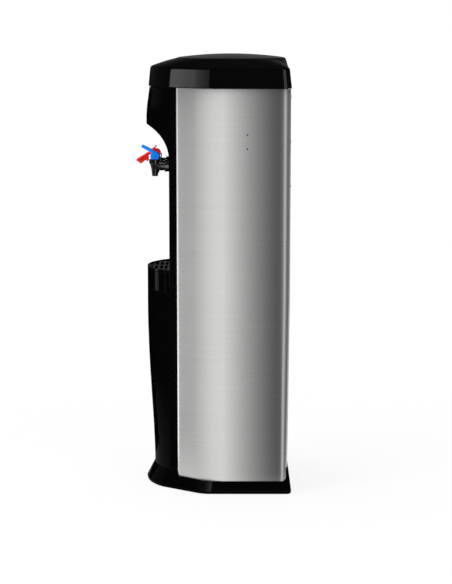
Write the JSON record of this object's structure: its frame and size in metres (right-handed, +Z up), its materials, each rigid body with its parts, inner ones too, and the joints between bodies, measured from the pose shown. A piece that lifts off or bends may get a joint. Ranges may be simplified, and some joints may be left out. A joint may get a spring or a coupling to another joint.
{
  "type": "point-of-use water cooler",
  "caption": "Free-standing mains-fed water cooler with brushed steel sides, a gloss black front, hot and cold lever taps, a drip tray and a lift-off lid.",
  "frame": {"origin": "centre of the base's footprint, on the floor", "axes": "+Z up, -Y towards the user, +X to the right when facing the taps"},
  "size_m": [0.312, 0.354, 0.985],
  "materials": {
    "gloss_black": "gloss",
    "brushed_steel": "brushed",
    "sheet_steel": "satin",
    "black_plastic": "satin",
    "tap_black": "gloss",
    "blue_plastic": "gloss",
    "red_plastic": "gloss",
    "trigger_red": "gloss",
    "white_plastic": "gloss",
    "lens_clear": "gloss",
    "seal_rubber": "matte",
    "grey_rubber": "matte",
    "tank_steel": "satin",
    "foam": "matte",
    "copper": "satin",
    "compressor_black": "satin",
    "condenser_black": "satin",
    "blue_tube": "satin",
    "plated_brass": "satin",
    "zinc": "satin",
    "spring_steel": "polished",
    "filter_white": "satin"
  },
  "bodies": {
    "cabinet": {"base_plinth": "gloss_black", "rubber_feet": "grey_rubber", "base_pan": "sheet_steel", "side_panel_left": "brushed_steel", "side_panel_right": "brushed_steel", "front_upper_panel": "gloss_black", "indicator_lenses": "lens_clear", "front_lower_panel": "gloss_black", "top_frame": "sheet_steel", "tank_shelf": "sheet_steel", "back_panel": "sheet_steel", "cold_tap_body": "tap_black", "hot_tap_body": "tap_black", "tap_bonnets": "tap_black", "tap_pins": "spring_steel", "tap_gaskets": "seal_rubber", "tap_nuts": "black_plastic", "cold_tank": "tank_steel", "cold_tank_lid": "white_plastic", "tank_baffle": "white_plastic", "float_valve": "white_plastic", "insulation_lower": "foam", "insulation_upper": "foam", "evaporator_coil": "copper", "hot_tank": "tank_steel", "hot_tank_jacket": "foam", "heater_band": "zinc", "hot_tank_bracket": "zinc", "compressor": "compressor_black", "compressor_grommets": "grey_rubber", "relay_cover": "black_plastic", "condenser_tube": "condenser_black", "condenser_wires": "condenser_black", "refrigerant_pipes": "copper", "filter_manifold": "white_plastic", "water_tubes": "blue_tube", "inlet_fitting": "plated_brass", "rear_controls": "black_plastic", "power_inlet": "black_plastic", "screws": "zinc"},
    "lid": {"lid": "gloss_black", "lid_cap": "gloss_black"},
    "tray": {"drip_tray": "gloss_black"},
    "grille": {"drip_grille": "gloss_black"},
    "cold_lever": {"cold_tap_lever": "blue_plastic"},
    "hot_lever": {"hot_tap_lever": "red_plastic"},
    "trigger": {"hot_tap_trigger": "trigger_red"},
    "catch": {"hot_tap_catch": "red_plastic"},
    "cold_valve": {"cold_tap_plunger": "white_plastic", "cold_tap_seal": "seal_rubber", "cold_tap_spring": "spring_steel"},
    "hot_valve": {"hot_tap_plunger": "white_plastic", "hot_tap_seal": "seal_rubber", "hot_tap_spring": "spring_steel"},
    "float": {"float_arm": "white_plastic"},
    "front_filter": {"filter_cartridge_front": "filter_white"},
    "rear_filter": {"filter_cartridge_rear": "filter_white"},
    "hot_switch": {"rocker_hot": "red_plastic"},
    "cold_switch": {"rocker_cold": "blue_plastic"},
    "thermostat": {"thermostat_knob": "black_plastic"}
  },
  "joints": [
    {"name": "lid_lift", "type": "slide", "parent": "cabinet", "child": "lid", "axis": [0, 0, 1], "range_m": [0, 0.12]},
    {"name": "tray_pull", "type": "slide", "parent": "cabinet", "child": "tray", "axis": [0, -1, 0], "range_m": [0, 0.12]},
    {"name": "grille_lift", "type": "slide", "parent": "tray", "child": "grille", "axis": [0, 0, 1], "range_m": [0, 0.05]},
    {"name": "cold_lever_press", "type": "hinge", "parent": "cabinet", "child": "cold_lever", "pos_m": [0.04, -0.142, 0.7572], "axis": [1, 0, 0], "range_deg": [0, 20], "stiffness_Nm_per_rad": 0.25, "springref_deg": -5.73},
    {"name": "hot_lever_press", "type": "hinge", "parent": "cabinet", "child": "hot_lever", "pos_m": [-0.04, -0.142, 0.7572], "axis": [1, 0, 0], "range_deg": [0, 12], "stiffness_Nm_per_rad": 0.25, "springref_deg": -5.73},
    {"name": "cold_valve_lift", "type": "slide", "parent": "cabinet", "child": "cold_valve", "axis": [0, 0, 1], "range_m": [0, 0.0021], "deforming": ["cold_tap_spring"]},
    {"name": "hot_valve_lift", "type": "slide", "parent": "cabinet", "child": "hot_valve", "axis": [0, 0, 1], "range_m": [0, 0.00126], "deforming": ["hot_tap_spring"]},
    {"name": "trigger_squeeze", "type": "hinge", "parent": "hot_lever", "child": "trigger", "pos_m": [-0.04, -0.16209, 0.74699], "axis": [-1, 0, 0], "range_deg": [0, 4], "stiffness_Nm_per_rad": 0.05, "springref_deg": -5.73},
    {"name": "catch_tip", "type": "hinge", "parent": "hot_lever", "child": "catch", "pos_m": [-0.04, -0.1468, 0.7684], "axis": [-1, 0, 0], "range_deg": [0, 25], "stiffness_Nm_per_rad": 0.02, "springref_deg": -11.46},
    {"name": "float_swing", "type": "hinge", "parent": "cabinet", "child": "float", "pos_m": [0, 0.085, 0.872], "axis": [1, 0, 0], "range_deg": [-12, 0]},
    {"name": "front_filter_twist", "type": "hinge", "parent": "cabinet", "child": "front_filter", "pos_m": [0.085, -0.035, 0.43], "axis": [0, 0, 1], "range_deg": [0, 90]},
    {"name": "rear_filter_twist", "type": "hinge", "parent": "cabinet", "child": "rear_filter", "pos_m": [0.085, 0.045, 0.43], "axis": [0, 0, 1], "range_deg": [0, 90]},
    {"name": "hot_switch_rock", "type": "hinge", "parent": "cabinet", "child": "hot_switch", "pos_m": [-0.118, 0.155, 0.868], "axis": [1, 0, 0], "range_deg": [0, 20]},
    {"name": "cold_switch_rock", "type": "hinge", "parent": "cabinet", "child": "cold_switch", "pos_m": [-0.118, 0.155, 0.838], "axis": [1, 0, 0], "range_deg": [0, 20]},
    {"name": "thermostat_turn", "type": "hinge", "parent": "cabinet", "child": "thermostat", "pos_m": [-0.08, 0.155, 0.853], "axis": [0, 1, 0], "range_deg": [0, 270]}
  ],
  "couplings": [
    {"joint": "cold_lever_press", "follows": "cold_valve_lift", "rad_per_m": 166.1},
    {"joint": "hot_lever_press", "follows": "hot_valve_lift", "rad_per_m": 166.1}
  ]
}
